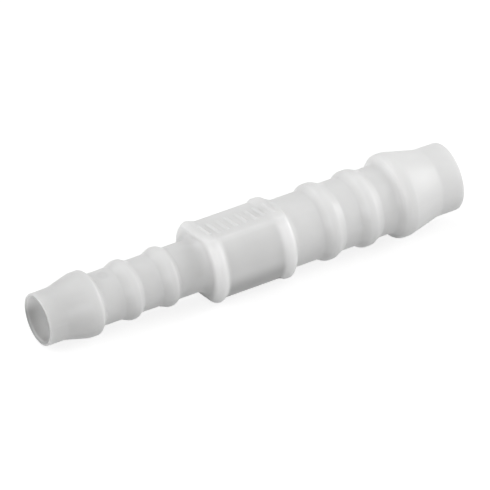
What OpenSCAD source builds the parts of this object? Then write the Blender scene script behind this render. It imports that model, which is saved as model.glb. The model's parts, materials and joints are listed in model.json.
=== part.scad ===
// Straight hose reducer, moulded in one piece from natural, milky plastic.
// Each end is a barbed spigot that is pushed into its own size of hose. The round body
// between them has two collars that stop the hoses, and two flats for a spanner or a clamp.
// X runs along the bore from the small end to the large end, and Z is square to the flats.
// The origin is on the bore's axis, half way between the two mouths. Sizes are in millimetres.

/* [Small spigot] */
// Diameter of the plain neck, which is the bore of the small hose
small_neck_d = 6; // [5.8:0.1:6.6]
// Bore of the small end
small_bore_d = 5; // [3.6:0.1:5.1]
// Mouth to collar, the length of hose that the spigot takes
small_length = 20.05; // [19:0.05:26]
// Plain tip in front of the barb
small_tip = 2.25; // [1.5:0.05:3]
// Diameter over the barb
small_barb_d = 7.45; // [7:0.05:8]
// Length of the barb's cone
small_barb_rise = 2.95; // [2:0.05:3.4]
// Length of the barb's land
small_barb_land = 1.1; // [0.6:0.05:1.4]
// Length of the barb's steep back
small_barb_back = 0.55; // [0.3:0.05:0.8]
// Diameter over the ribs behind the barb
small_rib_d = 6.85; // [6.7:0.05:7.4]
// Mouth to the start of the first rib's slope
small_rib_start = 9.45; // [8.8:0.05:10]
// Length of a rib's slope
small_rib_rise = 1; // [0.6:0.05:1.6]
// Length of a rib's land
small_rib_land = 0.6; // [0.3:0.05:1]
// Distance from one rib to the next
small_rib_pitch = 4.7; // [4:0.1:5]
// Hollow round where the neck runs out into its collar
small_root_round = 0.35; // [0.1:0.05:0.4]

/* [Large spigot] */
// Diameter of the plain neck, which is the bore of the large hose
large_neck_d = 8; // [7.8:0.1:8.6]
// Bore of the large end
large_bore_d = 6.6; // [5.2:0.1:6.7]
// Mouth to collar, the length of hose that the spigot takes
large_length = 22.35; // [21.5:0.05:28]
// Plain tip in front of the barb
large_tip = 2.85; // [2:0.05:3.6]
// Diameter over the barb
large_barb_d = 9.9; // [9.4:0.1:10.8]
// Length of the barb's cone
large_barb_rise = 3.95; // [3:0.05:4.3]
// Length of the barb's land
large_barb_land = 1.25; // [0.8:0.05:1.6]
// Length of the barb's steep back
large_barb_back = 0.3; // [0.2:0.05:0.8]
// Diameter over the ribs behind the barb
large_rib_d = 9; // [8.8:0.1:9.6]
// Mouth to the start of the first rib's slope
large_rib_start = 10.7; // [10.2:0.05:11.4]
// Length of a rib's slope
large_rib_rise = 1; // [0.6:0.05:1.6]
// Length of a rib's land
large_rib_land = 0.9; // [0.4:0.05:1.2]
// Distance from one rib to the next
large_rib_pitch = 4.9; // [4:0.1:5.2]

/* [Rings on both spigots] */
// Number of ribs behind each barb
rib_count = 2; // [1:1:2]
// Length of a rib's steep back
rib_back = 0.7; // [0.4:0.05:1]

/* [Body] */
// Length over the two collars
body_length = 10.2; // [8:0.1:14]
// Diameter of the body between the collars
body_d = 9.2; // [8.8:0.05:9.5]
// Width across the body's two flats
body_flats = 7.7; // [7.4:0.1:7.8]
// Diameter over the collars
collar_d = 9.9; // [9.7:0.1:11]
// Width across the collars' two flats
collar_flats = 8.1; // [8:0.1:8.6]
// Width of a collar along the axis
collar_width = 1.45; // [1:0.05:2]
// Length of the taper that joins the two bores
taper_length = 6; // [4:0.5:10]

/* [Rounding] */
// Round on the outer edge of each mouth
lip_round = 0.25; // [0.1:0.05:0.3]
// Round on the inner edge of each mouth
bore_round = 0.12; // [0.05:0.01:0.15]
// Soft blend where the tip swells into the barb's cone
swell_round = 2; // [1:0.5:6]
// Round where a cone or a slope meets its land
shoulder_round = 1.3; // [0.3:0.1:2]
// Round on the back edge of a land
edge_round = 0.6; // [0.2:0.05:0.8]
// Round at the foot of a rib's slope and of every steep back
foot_round = 0.5; // [0.1:0.05:0.8]
// Round on the edges of a collar
collar_round = 0.65; // [0.2:0.05:0.7]

/* [Hidden] */
natural_plastic = [0.93, 0.93, 0.92];
overall_length = small_length + body_length + large_length;
small_mouth_x = -overall_length / 2;
large_mouth_x = overall_length / 2;
body_centre_x = small_mouth_x + small_length + body_length / 2;
// A spigot's neck reaches this far into its collar, so that the two are one solid
root_overlap = collar_width / 2;
// The cutters stand this far out of what they cut
cut_overlap = 1;
// Largest turn in degrees between neighbouring straight pieces of a round
arc_step = 10;
// The part of a straight piece that a round may take, and of one that two rounds share
whole_part = 0.96;
shared_part = 0.48;
$fn = 96;

function unit(v) = v / norm(v);
function flat(point) = [point[0], point[1]];

// Length of straight piece that the round at the corner `here` may take towards its neighbour
function room(here, neighbour) =
    norm(flat(neighbour) - flat(here)) * (neighbour[2] > 0 ? shared_part : whole_part);

// Points of the arc that rounds the corner `here` between its neighbours. The corner's third
// number is the radius, limited so that the arc keeps within its room on both sides.
function corner_arc(before, here, after) =
    let (
        u = unit(flat(before) - flat(here)),
        v = unit(flat(after) - flat(here)),
        half_angle = acos(max(-1, min(1, u * v))) / 2,
        most = min(room(here, before), room(here, after)) * tan(half_angle),
        radius = min(here[2], most),
        centre = flat(here) + unit(u + v) * radius / sin(half_angle),
        start = flat(here) + u * radius / tan(half_angle) - centre,
        turn = 180 - 2 * half_angle,
        side = cross(u, v) > 0 ? -1 : 1,
        steps = ceil(turn / arc_step)
    )
    [for (i = [0 : steps])
        let (a = side * turn * i / steps)
        centre + [start[0] * cos(a) - start[1] * sin(a), start[0] * sin(a) + start[1] * cos(a)]];

// An outline of [x, y, radius] corners with each corner rounded; a radius of 0 stays sharp
function rounded(corners) =
    let (last = len(corners) - 1)
    [for (i = [0 : last])
        let (
            here = corners[i],
            before = corners[i == 0 ? last : i - 1],
            after = corners[i == last ? 0 : i + 1]
        )
        each here[2] > 0 ? corner_arc(before, here, after) : [flat(here)]];

// Corners of one ring on a neck, as distance from the mouth and radius: the slope that faces
// the hose, the land, and the steep back that holds it
function ring(start, neck_d, ring_d, rise, land, back, blend) = [
    [start, neck_d / 2, blend],
    [start + rise, ring_d / 2, shoulder_round],
    [start + rise + land, ring_d / 2, edge_round],
    [start + rise + land + back, neck_d / 2, foot_round]
];

// Turns an outline of [distance along the axis, radius] corners about the X axis
module turned(corners)
    rotate([0, 90, 0])
        rotate_extrude()
            polygon([for (p = rounded(corners)) [p[1], p[0]]]);

// A spigot with its mouth at the origin, running along +X: tip, barb, ribs and plain neck
module spigot(neck_d, length, barb, ribs, root)
    turned(concat(
        [[0, 0, 0], [0, neck_d / 2, lip_round]],
        barb,
        ribs,
        root,
        [[length + root_overlap, 0, 0]]
    ));

// Corners of a neck's end inside its collar
function straight_root(neck_d, length) = [[length + root_overlap, neck_d / 2, 0]];

// The same with a hollow round that runs out onto the collar's face
function hollow_root(neck_d, length, blend) =
    let (reach = neck_d / 2 + blend / whole_part)
    [
        [length, neck_d / 2, blend],
        [length, reach, 0],
        [length + root_overlap, reach, 0]
    ];

module small_spigot()
    translate([small_mouth_x, 0, 0])
        spigot(
            small_neck_d,
            small_length,
            ring(small_tip, small_neck_d, small_barb_d,
                small_barb_rise, small_barb_land, small_barb_back, swell_round),
            [for (i = [0 : rib_count - 1])
                each ring(small_rib_start + i * small_rib_pitch, small_neck_d, small_rib_d,
                    small_rib_rise, small_rib_land, rib_back, foot_round)],
            hollow_root(small_neck_d, small_length, small_root_round)
        );

module large_spigot()
    translate([large_mouth_x, 0, 0])
        mirror([1, 0, 0])
            spigot(
                large_neck_d,
                large_length,
                ring(large_tip, large_neck_d, large_barb_d,
                    large_barb_rise, large_barb_land, large_barb_back, swell_round),
                [for (i = [0 : rib_count - 1])
                    each ring(large_rib_start + i * large_rib_pitch, large_neck_d, large_rib_d,
                        large_rib_rise, large_rib_land, rib_back, foot_round)],
                straight_root(large_neck_d, large_length)
            );

// The round body between the collars, with its two flats
module grip()
    intersection() {
        rotate([0, 90, 0])
            cylinder(h = body_length - collar_width, d = body_d, center = true);
        cube([body_length, body_d + cut_overlap, body_flats], center = true);
    }

// One collar centred on the origin: a rounded bead that follows the round and the flats
module collar()
    intersection() {
        turned([
            [-collar_width / 2, 0, 0],
            [-collar_width / 2, collar_d / 2, collar_round],
            [collar_width / 2, collar_d / 2, collar_round],
            [collar_width / 2, 0, 0]
        ]);
        rotate([90, 0, 0])
            linear_extrude(height = collar_d + cut_overlap, center = true)
                polygon(rounded([
                    [-collar_width / 2, -collar_flats / 2, collar_round],
                    [collar_width / 2, -collar_flats / 2, collar_round],
                    [collar_width / 2, collar_flats / 2, collar_round],
                    [-collar_width / 2, collar_flats / 2, collar_round]
                ]));
    }

// The way through: two straight bores joined by a taper, with a round at each mouth
module way_through()
    turned([
        [small_mouth_x - cut_overlap, 0, 0],
        [small_mouth_x - cut_overlap, small_bore_d / 2 + bore_round, 0],
        [small_mouth_x, small_bore_d / 2 + bore_round, 0],
        [small_mouth_x, small_bore_d / 2, bore_round],
        [body_centre_x - taper_length / 2, small_bore_d / 2, 0],
        [body_centre_x + taper_length / 2, large_bore_d / 2, 0],
        [large_mouth_x, large_bore_d / 2, bore_round],
        [large_mouth_x, large_bore_d / 2 + bore_round, 0],
        [large_mouth_x + cut_overlap, large_bore_d / 2 + bore_round, 0],
        [large_mouth_x + cut_overlap, 0, 0]
    ]);

module reducer()
    color(natural_plastic)
        difference() {
            union() {
                small_spigot();
                large_spigot();
                translate([body_centre_x, 0, 0]) {
                    grip();
                    for (side = [-1, 1])
                        translate([side * (body_length - collar_width) / 2, 0, 0])
                            collar();
                }
            }
            way_through();
        }

reducer();
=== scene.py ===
import json
import math

import bmesh
import bpy
from mathutils import Matrix, Vector


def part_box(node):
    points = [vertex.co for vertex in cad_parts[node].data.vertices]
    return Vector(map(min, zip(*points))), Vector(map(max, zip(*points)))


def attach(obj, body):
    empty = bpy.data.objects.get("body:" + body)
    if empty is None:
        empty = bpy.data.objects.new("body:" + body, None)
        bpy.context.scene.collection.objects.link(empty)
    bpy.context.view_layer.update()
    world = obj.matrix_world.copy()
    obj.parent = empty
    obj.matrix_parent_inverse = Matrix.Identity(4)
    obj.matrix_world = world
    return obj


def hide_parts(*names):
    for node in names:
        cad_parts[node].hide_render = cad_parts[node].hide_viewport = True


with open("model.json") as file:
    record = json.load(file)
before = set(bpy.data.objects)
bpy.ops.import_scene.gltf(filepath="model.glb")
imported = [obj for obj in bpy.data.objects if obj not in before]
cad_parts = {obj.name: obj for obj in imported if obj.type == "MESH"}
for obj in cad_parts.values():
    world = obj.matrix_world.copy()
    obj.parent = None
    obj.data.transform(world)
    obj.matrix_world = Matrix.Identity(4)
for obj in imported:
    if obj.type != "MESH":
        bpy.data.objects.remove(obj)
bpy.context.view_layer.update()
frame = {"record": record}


# The reducer is one injection moulding in natural, milky plastic: two barbed spigots, and a
# round body with two collars and two flats. Its skin and its bore are one outline that is
# turned about the X axis, and the flats are cut into it as it turns. Sizes are in millimetres.
MM = 0.001

mounts = {mount["name"]: mount for mount in frame["record"]["mounts"]}
low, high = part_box("reducer")
small_mouth = low.x / MM
large_mouth = high.x / MM
small_neck = mounts["small_tip"]["dims"]["r_mm"]
large_neck = mounts["large_tip"]["dims"]["r_mm"]
small_bore = mounts["small_bore"]["dims"]["r_mm"]
large_bore = mounts["large_bore"]["dims"]["r_mm"]
small_length = mounts["small_hose"]["dims"]["length_mm"]
large_length = mounts["large_hose"]["dims"]["length_mm"]
small_bore_depth = mounts["small_bore"]["dims"]["length_mm"]
large_bore_depth = mounts["large_bore"]["dims"]["length_mm"]
flat_height = mounts["top_flat"]["pos_m"][2] / MM
widest = high.z / MM

# Radii over the barbs and the ribs, and the lengths of the plain tips and of the barbs
small_barb, small_rib = 3.725, 3.425
large_barb, large_rib = widest, 4.5
small_tip, small_barb_rise, small_barb_land = 2.25, 2.95, 1.1
large_tip, large_barb_rise, large_barb_land = 2.85, 3.95, 1.2

# The small mouth is set this far inside the solid's, to fit the photograph
small_mouth_short = 0.04
lip_round, bore_round, taper_round = 0.2, 0.35, 1.5

# The body is set a little nearer to the small mouth than the solid's, and its flats a little
# lower, to fit the photograph
body_shift = 0.08
body_start = small_mouth + small_length - body_shift
body_end = large_mouth - large_length - body_shift
middle = (body_start + body_end) / 2
body_radius, collar_radius = 4.6, widest
flat_drop, collar_flat_rise = 0.13, 0.15
body_flat_height = flat_height - flat_drop
collar_flat_height = body_flat_height + collar_flat_rise
body_depth = body_radius - body_flat_height
collar_depth = collar_radius - collar_flat_height

# A collar's land ends and its slope down to the body ends this far from its outer face
collar_land, collar_slope = 1.1, 1.6
collar_outer_round, collar_inner_round, collar_root_round = 0.7, 0.9, 0.9


def ring(start, neck, crest, rise, land, back, swell, shoulder, edge, foot):
    """Corners of a barb or a rib, as distance from the mouth, radius and round."""
    return [
        (start, neck, swell),
        (start + rise, crest, shoulder),
        (start + rise + land, crest, edge),
        (start + rise + land + back, neck, foot),
    ]


small_spigot = [(small_mouth_short, small_neck, lip_round)]
small_spigot += ring(small_tip, small_neck, small_barb, small_barb_rise, small_barb_land,
                     back=0.6, swell=2.2, shoulder=1.4, edge=0.6, foot=0.4)
for start in (9.45, 14.15):
    small_spigot += ring(start, small_neck, small_rib, rise=1.0, land=0.6,
                         back=0.7, swell=0.6, shoulder=0.9, edge=0.6, foot=0.4)

large_spigot = [(0, large_neck, lip_round)]
large_spigot += ring(large_tip, large_neck, large_barb, large_barb_rise, large_barb_land,
                     back=0.45, swell=2.0, shoulder=1.3, edge=0.75, foot=0.9)
for start in (10.7, 15.6):
    large_spigot += ring(start, large_neck, large_rib, rise=1.05, land=0.85,
                         back=0.85, swell=0.6, shoulder=1.0, edge=0.85, foot=0.9)

# The outline's corners are x, round radius, depth of the flats below it, and the corner's round.
# A collar's corners start at its outer face, where it stands on the spigot's neck.
collar = [
    (0, None, 0, collar_root_round),
    (0, collar_radius, collar_depth, collar_outer_round),
    (collar_land, collar_radius, collar_depth, collar_inner_round),
    (collar_slope, body_radius, body_depth, collar_inner_round),
]
outline = [(small_mouth + along, radius, 0, blend) for along, radius, blend in small_spigot]
outline += [(body_start + along, radius or small_neck, depth, blend)
            for along, radius, depth, blend in collar]
outline += [(body_end - along, radius or large_neck, depth, blend)
            for along, radius, depth, blend in reversed(collar)]
outline += [(large_mouth - along, radius, 0, blend)
            for along, radius, blend in reversed(large_spigot)]
outline += [
    (large_mouth, large_bore, 0, bore_round),
    (large_mouth - bore_round - large_bore_depth, large_bore, 0, taper_round),
    (small_mouth + bore_round + small_bore_depth, small_bore, 0, taper_round),
    (small_mouth + small_mouth_short, small_bore, 0, bore_round),
]

outline_mesh = bpy.data.meshes.new("reducer_outline")
outline_mesh.from_pydata(
    [(x * MM, radius * MM, depth * MM) for x, radius, depth, blend in outline],
    [(i, (i + 1) % len(outline)) for i in range(len(outline))],
    [],
)
blends = outline_mesh.attributes.new("blend", "FLOAT", "POINT")
blends.data.foreach_set("value", [blend * MM for x, radius, depth, blend in outline])
reducer = bpy.data.objects.new("reducer_moulding", outline_mesh)
bpy.context.scene.collection.objects.link(reducer)


class Wire:
    """A node's output. Arithmetic on it adds Math nodes to its tree."""

    def __init__(self, sheet, socket):
        self.sheet, self.socket = sheet, socket

    def math(self, operation, *others):
        return self.sheet.add("ShaderNodeMath", {"operation": operation},
                              dict(enumerate((self,) + others)))

    def __add__(self, other):
        return self.math("ADD", other)

    def __sub__(self, other):
        return self.math("SUBTRACT", other)

    def __mul__(self, other):
        return self.math("MULTIPLY", other)

    def __truediv__(self, other):
        return self.math("DIVIDE", other)

    def __rsub__(self, other):
        return self * -1 + other

    def __abs__(self):
        return self.math("ABSOLUTE")

    def __lt__(self, other):
        return self.math("LESS_THAN", other)

    def __gt__(self, other):
        return self.math("GREATER_THAN", other)

    __radd__ = __add__
    __rmul__ = __mul__

    def out(self, name):
        """Another output of the same node."""
        return Wire(self.sheet, self.socket.node.outputs[name])

    def fade(self, near, far):
        """1 where this value is below near, 0 where it is above far, and smooth between."""
        return self.sheet.add(
            "ShaderNodeMapRange", {"interpolation_type": "SMOOTHSTEP"},
            {"Value": self, "From Min": near, "From Max": far, "To Min": 1.0, "To Max": 0.0})


class NodeSheet:
    """A node tree that is written as expressions."""

    def __init__(self, tree):
        self.tree = tree

    def add(self, kind, settings=None, sockets=None):
        node = self.tree.nodes.new(kind)
        for name, value in (settings or {}).items():
            setattr(node, name, value)
        for name, value in (sockets or {}).items():
            if isinstance(value, Wire):
                self.tree.links.new(value.socket, node.inputs[name])
            else:
                node.inputs[name].default_value = value
        return Wire(self, node.outputs[0]) if node.outputs else node

    def split(self, vector):
        """The three parts of a vector."""
        x = self.add("ShaderNodeSeparateXYZ", None, {"Vector": vector})
        return x, x.out("Y"), x.out("Z")

    def join(self, x, y, z):
        return self.add("ShaderNodeCombineXYZ", None, {"X": x, "Y": y, "Z": z})

    def distance(self, one, other):
        return self.add("ShaderNodeVectorMath", {"operation": "DISTANCE"},
                        {0: one, 1: other}).out("Value")


# Natural plastic, milky and a little translucent, with a faint cloudiness and grain. The fine
# parting line of the mould, along both sides, is assumed.
natural = bpy.data.materials.new("natural_plastic")
natural.use_nodes = True
natural.node_tree.nodes.clear()
sheet = NodeSheet(natural.node_tree)
x, y, z = (part / MM for part in sheet.split(sheet.add("ShaderNodeTexCoord").out("Object")))
place = sheet.join(x, y, z)
cloud = sheet.add("ShaderNodeTexNoise", None,
                  {"Vector": place, "Scale": 0.22, "Detail": 3.0, "Roughness": 0.5})
streaks = sheet.add("ShaderNodeTexNoise", None,
                    {"Vector": sheet.join(x * 0.12, y, z), "Scale": 0.9, "Detail": 2.0})
grain = sheet.add("ShaderNodeTexNoise", None,
                  {"Vector": place, "Scale": 5.2, "Detail": 3.0, "Roughness": 0.6})

side = (y * y + z * z).math("SQRT")
over_neck = side - (x > middle) * (large_neck - small_neck) - small_neck
from_middle = abs(x - middle)
to_mouth = (x - small_mouth).math("MINIMUM", large_mouth - x)

# Regions of the moulding for painted light and shade. Each is 1 where the region is and 0 away
# from it.
rings = (1 - over_neck.fade(0.1, 0.5)) * (1 - from_middle.fade(5.2, 6.0))
collars = abs(abs(x - middle + 0.2) - 4.4).fade(0.4, 1.1) * (1 - side.fade(3.5, 4.6))
collar_flats = collars * (1 - z.fade(2.9, 3.9))
flats = (1 - abs(z).fade(3.6, 3.8)) * from_middle.fade(5.1, 5.6)
flat_edges = abs(abs(z) - 3.5).fade(0.1, 0.3) * from_middle.fade(3.2, 3.9)
body_sides = from_middle.fade(3.2, 3.9) * (1 - side.fade(4.3, 4.6)) * z.fade(2.0, 3.5)
underside = body_sides * z.fade(-2.4, -0.4)
small_end_top = (x - small_mouth).fade(2.5, 7.0) * (1 - z.fade(-2.2, -0.2))
small_root = from_middle.fade(6.0, 9.5) * (x < middle) * side.fade(3.1, 3.6)
bore = over_neck.fade(-0.45, -0.3)
bore_roof = bore * (1 - z.fade(-0.4, 2.0))
bore_ends = to_mouth.fade(0.0, 2.2) * over_neck.fade(-0.4, -0.08) * z.fade(-0.6, 2.4)

gate_side = -0.6
gate = (small_mouth + 8.1, gate_side, math.sqrt(small_neck ** 2 - gate_side ** 2))
gate_mark = sheet.distance(place, gate).fade(0.4, 0.85)

# The regions' tones are fitted to the photograph, and are painted light and shade, as named for
# each below. The large end has painted light too: it is a little lighter as a whole.
shade = (cloud - 0.5) * 0.08 + (x - middle) * (0.045 / large_mouth) + 0.77
for region, lighter in (
    # Painted light: the barbs and ribs lighter, for light that runs on inside the milky wall
    (rings, 0.02),
    # Painted light: the collars lighter, for light that runs on inside the milky wall
    (collars, 0.135),
    # Less of the collars' painted light near the flats
    (collar_flats, -0.09),
    # Painted light: the flats a little lighter
    (flats, 0.02),
    # Painted highlight along the edges of the body's flats
    (flat_edges, 0.025),
    # Painted shade on the body's sides between the collars, and much more on their underside
    (body_sides, -0.04),
    (underside, -0.2),
    # Painted shade: the small end darker, apart from its underside
    (small_end_top, -0.05),
    # Painted shade on the small neck next to the body
    (small_root, -0.03),
    (gate_mark, -0.04),
    # Painted light: the bores lighter, and their roofs more, for light that runs on inside the
    # milky wall
    (bore, 0.19),
    (bore_roof, 0.18),
    # Painted shade at the mouths: their end faces and the bores' entrances darker, except at the
    # top
    (bore_ends, -0.47),
):
    shade = shade + region * lighter

parting_line = abs(z).fade(0.02, 0.07) * (over_neck > -0.3)
height = grain * 0.25 + streaks * 0.5 + parting_line * 3.0
bump = sheet.add("ShaderNodeBump", None,
                 {"Strength": 0.35, "Distance": 0.01 * MM, "Height": height})
plastic = sheet.add("ShaderNodeBsdfPrincipled", None, {
    "Base Color": sheet.join(shade, shade, shade * 0.995),
    "Roughness": grain * 0.08 + cloud * 0.06 + 0.25,
    "IOR": 1.42,
    "Specular IOR Level": 0.4,
    "Normal": bump,
    "Subsurface Weight": 1.0,
    "Subsurface Radius": (1.0, 1.0, 1.0),
    "Subsurface Scale": 1.0 * MM,
    "Subsurface Anisotropy": 0.0,
})
sheet.add("ShaderNodeOutputMaterial", None, {"Surface": plastic})

# The tree rounds the outline's corners, turns it, cuts the flats, and adds the raised plain
# bars on the upper flat and the gate's mark on the small neck.
settings = {
    "Steps around": ("NodeSocketInt", 200),
    "Points in a round": ("NodeSocketInt", 6),
    "Long step": ("NodeSocketFloat", 0.7 * MM),
    "Fine step": ("NodeSocketFloat", 0.08 * MM),
    "Crowding on top": ("NodeSocketFloat", 0.45),
    "Softness of the flats' edges": ("NodeSocketFloat", 0.35),
    "Marks' middle": ("NodeSocketVector",
                      ((middle + 0.28) * MM, -0.25 * MM, body_flat_height * MM)),
    "Marks' reach": ("NodeSocketFloat", 2.9 * MM),
    "Marks in a group": ("NodeSocketInt", 4),
    "Marks' pitch": ("NodeSocketFloat", 1.15 * MM),
    "First mark": ("NodeSocketFloat", 0.65 * MM),
    "Mark's half width": ("NodeSocketFloat", 0.28 * MM),
    "Mark's half length": ("NodeSocketFloat", 1.4 * MM),
    "Mark's height": ("NodeSocketFloat", 0.11 * MM),
    "Mark's slope": ("NodeSocketFloat", 0.15 * MM),
    "Gate's place": ("NodeSocketVector", [part * MM for part in gate]),
    "Gate's reach": ("NodeSocketFloat", 1.45 * MM),
    "Gate's radius": ("NodeSocketFloat", 0.6 * MM),
    "Gate's depth": ("NodeSocketFloat", 0.04 * MM),
}
turning = bpy.data.node_groups.new("turned_moulding", "GeometryNodeTree")
turning.interface.new_socket("Outline", in_out="INPUT", socket_type="NodeSocketGeometry")
turning.interface.new_socket("Moulding", in_out="OUTPUT", socket_type="NodeSocketGeometry")
identifiers = {}
for name, (kind, value) in settings.items():
    socket = turning.interface.new_socket(name, in_out="INPUT", socket_type=kind)
    socket.default_value = value
    identifiers[name] = socket.identifier

sheet = NodeSheet(turning)
given = sheet.add("NodeGroupInput")
size = {name: given.out(name) for name in settings}
index = sheet.add("GeometryNodeInputIndex")
position = sheet.add("GeometryNodeInputPosition")
corners = sheet.add("GeometryNodeMeshToCurve", None, {"Mesh": given})
blend = sheet.add("GeometryNodeInputNamedAttribute", {"data_type": "FLOAT"}, {"Name": "blend"})
rounded = sheet.add("GeometryNodeFilletCurve", {"mode": "POLY"}, {
    "Curve": corners, "Count": size["Points in a round"], "Radius": blend, "Limit Radius": True})

# Long straight stretches get more points, and the ones that bear a mark many more
count = sheet.add("GeometryNodeAttributeDomainSize", {"component": "CURVE"},
                  {"Geometry": rounded})
after = sheet.add("GeometryNodeFieldAtIndex", {"data_type": "FLOAT_VECTOR", "domain": "POINT"},
                  {"Value": position, "Index": (index + 1).math("FLOORED_MODULO", count)})
stretch_x, stretch_radius = (part * 0.5 for part in sheet.split(
    sheet.add("ShaderNodeVectorMath", {"operation": "ADD"}, {0: position, 1: after}))[:2])
mark_x, mark_y, mark_z = sheet.split(size["Marks' middle"])
gate_x = sheet.split(size["Gate's place"])[0]
bears_marks = (abs(stretch_x - mark_x) < size["Marks' reach"]) * (stretch_radius > mark_z)
outside_bore = stretch_radius > (small_bore + small_neck) / 2 * MM
bears_gate = (abs(stretch_x - gate_x) < size["Gate's reach"]) * outside_bore
fine = bears_marks.math("MAXIMUM", bears_gate)
step = size["Long step"] + fine * (size["Fine step"] - size["Long step"])
dense = sheet.add("GeometryNodeSubdivideCurve", None, {
    "Curve": rounded, "Cuts": (sheet.distance(position, after) / step).math("FLOOR")})
count = sheet.add("GeometryNodeAttributeDomainSize", {"component": "CURVE"}, {"Geometry": dense})

# Each row of the grid is the outline's point of that number, turned once round the axis
columns = size["Steps around"] + 1
grid = sheet.add("GeometryNodeMeshGrid", None, {"Vertices X": count + 1, "Vertices Y": columns})
row = (index / columns).math("FLOOR")
turn = (index - row * columns) / size["Steps around"] * math.tau
turn = turn + math.pi / 2 - turn.math("SINE") * size["Crowding on top"]
along, radius, depth = sheet.split(sheet.add(
    "GeometryNodeSampleIndex", {"data_type": "FLOAT_VECTOR", "domain": "POINT"},
    {"Geometry": dense, "Value": position, "Index": row.math("FLOORED_MODULO", count)}))
flat_reach = (radius - depth) / abs(turn.math("SINE")).math("MAXIMUM", 0.001)
reach = radius.math("SMOOTH_MIN", flat_reach, depth * size["Softness of the flats' edges"])
turned = sheet.add("GeometryNodeSetPosition", None, {
    "Geometry": grid,
    "Position": sheet.join(along, reach * turn.math("COSINE"), reach * turn.math("SINE"))})
closed = sheet.add("GeometryNodeMergeByDistance", None,
                   {"Geometry": turned, "Distance": 0.001 * MM})

# Raised bars in two groups on the upper flat
x, y, z = sheet.split(position)
from_first = abs(x - mark_x) - size["First mark"]
nearest = (from_first / size["Marks' pitch"]).math("ROUND")
nearest = nearest.math("MAXIMUM", 0).math("MINIMUM", size["Marks in a group"] - 1)
off_bar = abs(from_first - nearest * size["Marks' pitch"])
bar = off_bar.fade(size["Mark's half width"] - size["Mark's slope"], size["Mark's half width"])
bar = bar * abs(y - mark_y).fade(size["Mark's half length"] - size["Mark's slope"],
                                 size["Mark's half length"])
bar = bar * (z > mark_z - 0.02 * MM)
marked = sheet.add("GeometryNodeSetPosition", None, {
    "Geometry": closed, "Offset": sheet.join(0.0, 0.0, bar * size["Mark's height"])})

# The gate's mark is a shallow round dip
off_gate = sheet.distance(position, size["Gate's place"])
dip = off_gate.fade(size["Gate's radius"] * 0.6, size["Gate's radius"]) * size["Gate's depth"]
gated = sheet.add("GeometryNodeSetPosition", None, {
    "Geometry": marked, "Offset": sheet.join(0.0, 0.0, dip * -1)})
smooth = sheet.add("GeometryNodeSetShadeSmooth", None, {"Geometry": gated})
real = sheet.add("GeometryNodeRealizeInstances", None, {"Geometry": smooth})
finished = sheet.add("GeometryNodeSetMaterial", None, {"Geometry": real, "Material": natural})
sheet.add("NodeGroupOutput", None, {0: finished})

modifier = reducer.modifiers.new("turned_moulding", "NODES")
modifier.node_group = turning
for name, (kind, value) in settings.items():
    modifier[identifiers[name]] = value
bpy.context.view_layer.update()
moulded = reducer.evaluated_get(bpy.context.evaluated_depsgraph_get())
reducer.data = bpy.data.meshes.new_from_object(moulded)
reducer.modifiers.clear()

shell = bmesh.new()
shell.from_mesh(reducer.data)
bmesh.ops.recalc_face_normals(shell, faces=shell.faces)
shell.to_mesh(reducer.data)
shell.free()

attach(reducer, "root")
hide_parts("reducer")


# A plain pale floor, three metres wide. The reducer lies on the middle of its two barbs' lands, so
# the floor slopes with their difference in radius. To the camera it is white apart from the
# reducer's soft shadow.
small_rest = small_mouth + small_tip + small_barb_rise + small_barb_land / 2
large_rest = large_mouth - large_tip - large_barb_rise - large_barb_land / 2
slope = math.atan((large_barb - small_barb) / (large_rest - small_rest))
floor_mesh = bpy.data.meshes.new("floor")
half = 1.5
floor_mesh.from_pydata([(-half, -half, 0), (half, -half, 0), (half, half, 0), (-half, half, 0)],
                       [], [(0, 1, 2, 3)])
floor = bpy.data.objects.new("floor", floor_mesh)
bpy.context.scene.collection.objects.link(floor)
floor.matrix_world = (Matrix.Translation((large_rest * MM, 0, -large_barb * MM))
                      @ Matrix.Rotation(slope, 4, "Y"))

pale = bpy.data.materials.new("pale_floor")
pale.use_nodes = True
pale.node_tree.nodes.clear()
sheet = NodeSheet(pale.node_tree)
path = sheet.add("ShaderNodeLightPath")
seen = path.math("MAXIMUM", path.out("Is Glossy Ray")).math(
    "MAXIMUM", path.out("Is Transmission Ray"))
matt = sheet.add("ShaderNodeBsdfDiffuse", None, {"Color": (0.35, 0.35, 0.35, 1)})
glow = sheet.add("ShaderNodeEmission", None, {"Color": (1, 1, 1, 1), "Strength": 0.8})
lit = sheet.add("ShaderNodeAddShader", None, {0: matt, 1: glow})
surface = sheet.add("ShaderNodeMixShader", None, {0: seen, 1: matt, 2: lit})
sheet.add("ShaderNodeOutputMaterial", None, {"Surface": surface})
floor_mesh.materials.append(pale)


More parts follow.
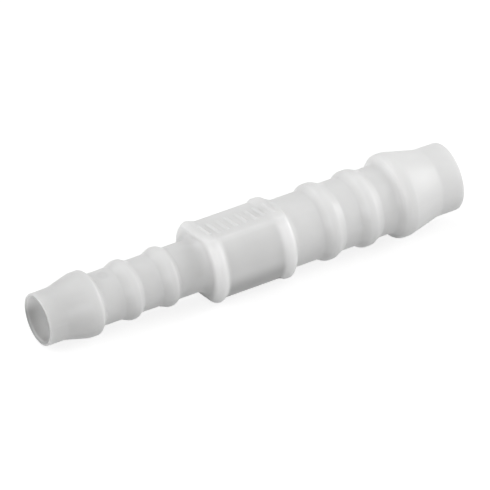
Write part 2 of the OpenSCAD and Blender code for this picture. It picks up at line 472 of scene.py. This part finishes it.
# Plain soft studio light: a pale room, broad lamps low on the right and in front, higher ones on
# the left and behind, and a smaller one on the right for the gloss. To the camera the room is
# white. The lamps' widths and their distance are in metres.
world = bpy.data.worlds.new("room")
bpy.context.scene.world = world
world.use_nodes = True
world.node_tree.nodes.clear()
sheet = NodeSheet(world.node_tree)
path = sheet.add("ShaderNodeLightPath")
seen = path.math("MAXIMUM", path.out("Is Glossy Ray")).math(
    "MAXIMUM", path.out("Is Transmission Ray"))
room = sheet.add("ShaderNodeBackground", None, {"Color": (1, 1, 1, 1), "Strength": 0.3})
white = sheet.add("ShaderNodeBackground", None, {"Color": (1, 1, 1, 1), "Strength": 1.0})
surface = sheet.add("ShaderNodeMixShader", None, {0: seen, 1: room, 2: white})
sheet.add("ShaderNodeOutputWorld", None, {"Surface": surface})

lamp_distance = 0.5
for name, azimuth, elevation, width, watts in (
    ("right_lamp", -20, 8, 0.4, 1.1),
    ("front_lamp", -110, 8, 0.4, 1.4),
    ("left_lamp", 160, 35, 0.4, 1.05),
    ("back_lamp", 100, 62, 0.4, 0.43),
    ("small_lamp", -14, 28, 0.25, 0.45),
):
    lamp = bpy.data.lights.new(name, "AREA")
    lamp.shape, lamp.size, lamp.energy = "DISK", width, watts
    stand = bpy.data.objects.new(name, lamp)
    bpy.context.scene.collection.objects.link(stand)
    turn, tilt = math.radians(azimuth), math.radians(elevation)
    towards = Vector((math.cos(turn) * math.cos(tilt), math.sin(turn) * math.cos(tilt),
                      math.sin(tilt)))
    stand.location = towards * lamp_distance
    stand.rotation_euler = towards.to_track_quat("Z", "Y").to_euler()


# The camera looks along the photograph's line of sight, from the small end's side, in front and
# above. Its lens keeps the photograph's scale at the distance that its perspective shows.
picture_size = 490
pixels_per_mm = 9.062
distance = 481.2
azimuth, elevation, roll = math.radians(-28.07), math.radians(26.70), math.radians(-5.97)
aim_right, aim_up = -0.09, 0.165
lens = bpy.data.cameras.new("camera")
lens.sensor_fit = "HORIZONTAL"
lens.sensor_width = 36.0
lens.lens = pixels_per_mm * distance * lens.sensor_width / picture_size
lens.clip_start, lens.clip_end = 0.01, 10.0
camera = bpy.data.objects.new("camera", lens)
bpy.context.scene.collection.objects.link(camera)
camera.matrix_world = (
    Matrix.Rotation(azimuth, 4, "Z")
    @ Matrix.Rotation(math.pi / 2 - elevation, 4, "X")
    @ Matrix.Rotation(roll, 4, "Z")
    @ Matrix.Translation((aim_right * MM, aim_up * MM, distance * MM)))
bpy.context.scene.camera = camera
bpy.context.scene.view_settings.view_transform = "Standard"
